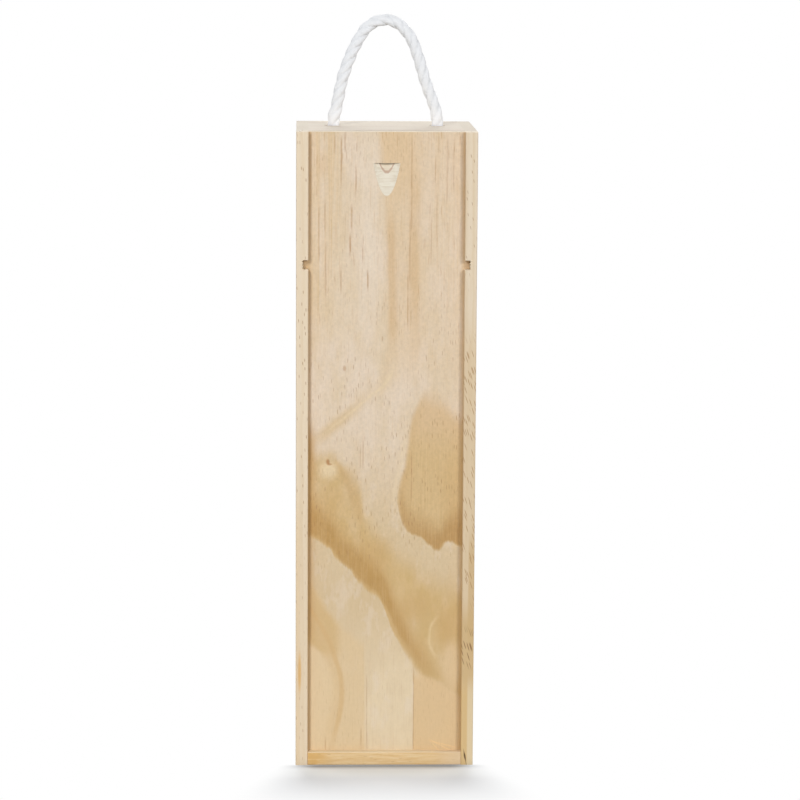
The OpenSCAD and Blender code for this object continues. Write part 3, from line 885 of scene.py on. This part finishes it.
# Lower left: a golden shade, a pale spear under it, and the arch that runs down round the spear
shade_heights = (0.0, 120.0)
shade_z = drawn_curve(tree, px, LEFT_HALF, shade_heights, [
    (-50, 112), (-43, 106), (-40, 101), (-36, 94), (-32, 88), (-28, 83), (-24, 79), (-18, 74),
    (-12, 69), (0, 62)
])
spear_z = drawn_curve(tree, px, LEFT_HALF, shade_heights, [
    (-50, 74), (-43, 69.5), (-40, 66.5), (-36, 62.5), (-32, 59), (-29, 54), (-27, 46), (-25.5, 36),
    (0, 0)
])
arch_x = drawn_curve(tree, z, (0.0, 90.0), LEFT_HALF, [
    (0, -31), (8, -29.5), (15, -27.8), (22, -26), (30, -24.3), (38, -23.3), (45, -23.4),
    (52, -24.7), (60, -27.4), (66, -29.3), (74, -32.5), (82, -37), (90, -42)
])
shaded = times(tree, rise(tree, minus(tree, shade_z, pz), -3.0, 5.0), fall(tree, px, -12.0, -10.0))
face = laid(tree, face, shaded, 0.75, 218, 192, 151)
golden = times(tree, shaded, rise(tree, minus(tree, pz, spear_z), -1.5, 3.5))
golden = times(tree, golden, fall(tree, px, -30.0, -22.0))
golden = times(tree, golden, rise(tree, z, 58.0, 66.0), rise(tree, z, 84.0, 102.0, 1.0, 0.6))
face = laid(tree, face, golden, 0.8, 206, 175, 125)
from_arch = minus(tree, px, arch_x)
on_arch = rise(tree, z, 8.0, 26.0, 0.2, 1.0)
spear = rise(tree, minus(tree, spear_z, pz), -1.0, 2.5)
spear = times(tree, spear, fall(tree, from_arch, -4.0, -1.0))
face = laid(tree, face, spear, 0.6, 224, 200, 162)
wide_arch = times(tree, between(tree, from_arch, -6.0, 0.5, 2.5), on_arch)
face = laid(tree, face, wide_arch, 0.45, 212, 182, 137)
fine_arch = times(tree, between(tree, from_arch, -1.8, 0.9, 0.9), on_arch)
face = laid(tree, face, fine_arch, 0.6, 208, 174, 124)

# Lower right: a warm field beyond a fine line, a pinkish patch, an ingrown arc and three resin lines
field = times(tree, rise(tree, px, 15.8, 16.6), fall(tree, above_band, -1.0, 3.0))
field = times(tree, field, fall(tree, z, 46.0, 56.0))
face = laid(tree, face, field, 0.9, 217, 187, 143)
pinkish = oval(tree, px, pz, (37.5, 54.0), (5.0, 15.0), 0.5)
face = laid(tree, face, pinkish, 0.65, 222, 196, 158)
arc_away = oval(tree, px, pz, (36.0, 72.0), (10.5, 13.0), 0.08)
arc_rim = oval(tree, px, pz, (36.0, 72.0), (12.0, 14.5), 0.08)
arc_rim = times(tree, arc_rim, minus(tree, 1.0, arc_away), fall(tree, px, 26.0, 32.0))
face = laid(tree, face, arc_rim, 0.5, 226, 203, 160)
for slope, height in ((-1.1, 41.0), (-0.55, 27.5), (-0.25, 19.0)):
    above_line = minus(tree, z, calc(tree, "MULTIPLY_ADD", x, slope, height))
    resin = times(tree, between(tree, above_line, -0.35, 0.35, 0.4), between(tree, x, 26.0, 40.0, 2.0))
    resin = times(tree, resin, fall(tree, z, 13.0, 15.0))
    face = laid(tree, face, resin, 0.55, 236, 201, 148)

# The veneer on the lid's back is another sheet, with a plain figure
back_tones = (226, 208, 180), (211, 184, 142)
back_veneer = flat_figure(tree, place, 2, 67.0, back_tones)
on_back = rise(tree, y, LID_MIDDLE - 0.1, LID_MIDDLE + 0.1)
face = mix(tree, on_back, face, back_veneer)

# Knots, fine lines of latewood, fibres and resin canals
on_front = minus(tree, 1.0, on_back)
halo = times(tree, oval(tree, px, pz, (-31.8, 166.6), (4.6, 4.6), 0.6), on_front)
face = laid(tree, face, halo, 0.75, 228, 208, 172)
for spot, size, share in (
    ((-32.2, 171.2), (0.9, 1.5), 0.8), ((-31.2, 169.9), (1.3, 0.6), 0.6),
    ((-22.7, 223.5), (0.8, 1.5), 0.45),
):
    knot = times(tree, oval(tree, px, z, spot, size, 0.55), on_front)
    face = laid(tree, face, knot, share, 168, 118, 72)
gather = stretched_noise(tree, place, (0.09, 0.0, 0.022), 2.0, (3.0, 0.0, 8.0))
gather = rise(tree, gather, 0.42, 0.6, 0.2, 1.0)
hairs = resin_dashes(tree, px, z, 47.0, 0.0, 0.4, 2.0, 26.0, 0.16)
hairs = times(tree, hairs, rise(tree, z, 225.0, 260.0, 0.25, 1.0), gather)
face = laid(tree, face, hairs, 0.42, 186, 144, 102)
for line_x, low, high, width, dark in (
    (13.6, 300, 352, 0.3, 0.35), (12.8, 272, 306, 0.3, 0.35), (11.8, 247, 276, 0.3, 0.4),
    (16.3, 7, 54, 0.26, 0.45), (-9.8, 7, 49, 0.25, 0.35), (-13.0, 7, 20, 0.25, 0.4),
    (-33.0, 7, 14, 0.25, 0.4),
    (26.5, 326, 340, 0.25, 0.35), (28.2, 342, 352, 0.3, 0.35), (33.0, 316, 350, 0.3, 0.3),
    (36.5, 322, 348, 0.3, 0.3), (24.5, 282, 306, 0.25, 0.3), (27.5, 296, 318, 0.25, 0.3),
    (-24.8, 325, 350, 0.35, 0.5), (-22.8, 344, 354, 0.35, 0.5), (-28.4, 342, 351, 0.3, 0.45),
    (-16.8, 321, 335, 0.3, 0.5), (-19.2, 301, 313, 0.4, 0.6), (-20.0, 286, 297, 0.4, 0.55),
    (-13.0, 283, 291, 0.3, 0.45), (-10.1, 267, 277, 0.35, 0.6), (-25.0, 266, 278, 0.3, 0.4),
    (-37.0, 284, 312, 0.3, 0.4), (-33.2, 264, 292, 0.3, 0.4), (-33.8, 300, 315, 0.3, 0.4),
    (14.5, 150, 176, 0.3, 0.4), (-12.5, 168, 184, 0.25, 0.35), (-14.0, 168, 180, 0.25, 0.3),
):
    bent_x = calc(tree, "MULTIPLY_ADD", sway, 1.2, x)
    off = calc(tree, "ABSOLUTE", minus(tree, bent_x, line_x))
    hair = times(tree, fall(tree, off, width * 0.5, width * 2.0), between(tree, z, low, high, 3.0))
    hair = times(tree, hair, rise(tree, swell, -0.25, 0.1, 0.5, 1.0))
    face = laid(tree, face, hair, dark, 172, 126, 84)
dark_threads = times(tree, rise(tree, threads, 0.56, 0.7), rise(tree, z, 215.0, 255.0, 0.35, 1.0))
face = laid(tree, face, dark_threads, 0.34, 202, 169, 130)
face = laid(tree, face, rise(tree, fibres, 0.5, 0.78), 0.35, 206, 177, 138)
dashes = resin_dashes(tree, px, z, 71.0, 0.02, 0.55, 1.5, 10.0, 0.18)
crowd = stretched_noise(tree, place, (0.05, 0.0, 0.03), 2.0, (3.0, 0.0, 18.0))
crowd = times(tree, rise(tree, crowd, 0.42, 0.6, 0.12, 0.6), rise(tree, z, 100.0, 140.0, 0.3, 1.0))
crowd = times(tree, crowd, rise(tree, z, 225.0, 250.0, 1.0, 0.5))
face = laid(tree, face, times(tree, dashes, crowd), 0.85, 160, 116, 76)

# The fibres' shimmer, stronger high up, painted shade down the left edge, and painted shade along both
# edges beside the lips
shimmer = times(tree, minus(tree, weave, 0.5), rise(tree, z, 90.0, 140.0, 0.1, 0.25))
shimmer = calc(tree, "ADD", shimmer, 1.0)
grained = add(tree, "VectorMath", face, operation="SCALE")
feed(grained.inputs["Scale"], shimmer)
face = grained.outputs[0]
# Painted shade down the lid's left margin
left_painted_shade = times(tree, fall(tree, x, -43.0, -36.5), between(tree, z, 72.0, 190.0, 9.0))
left_painted_shade = times(tree, left_painted_shade, rise(tree, z, 152.0, 172.0, 0.55, 1.0))
face = laid(tree, face, left_painted_shade, 0.8, 186, 146, 92)
# Painted shade along both edges of the lid, where the lips shade it
edge_painted_shade = rise(tree, calc(tree, "ABSOLUTE", x), 40.6, 42.6, 0.0, 0.45)
face = laid(tree, face, edge_painted_shade, 1.0, 190, 150, 92)
face = plies(tree, minus(tree, y, LID_FRONT), face, place)
feed(shader.inputs["Base Color"], top_corner_painted_highlight(tree, y, z, face))
feed(shader.inputs["Roughness"], rise(tree, fibres, 0.2, 0.8, 0.52, 0.7))
raise_surface(tree, shader, minus(tree, fibres, times(tree, dashes, 0.6)), 0.3, 0.0001)
dress("sliding_lid", lid_finish)
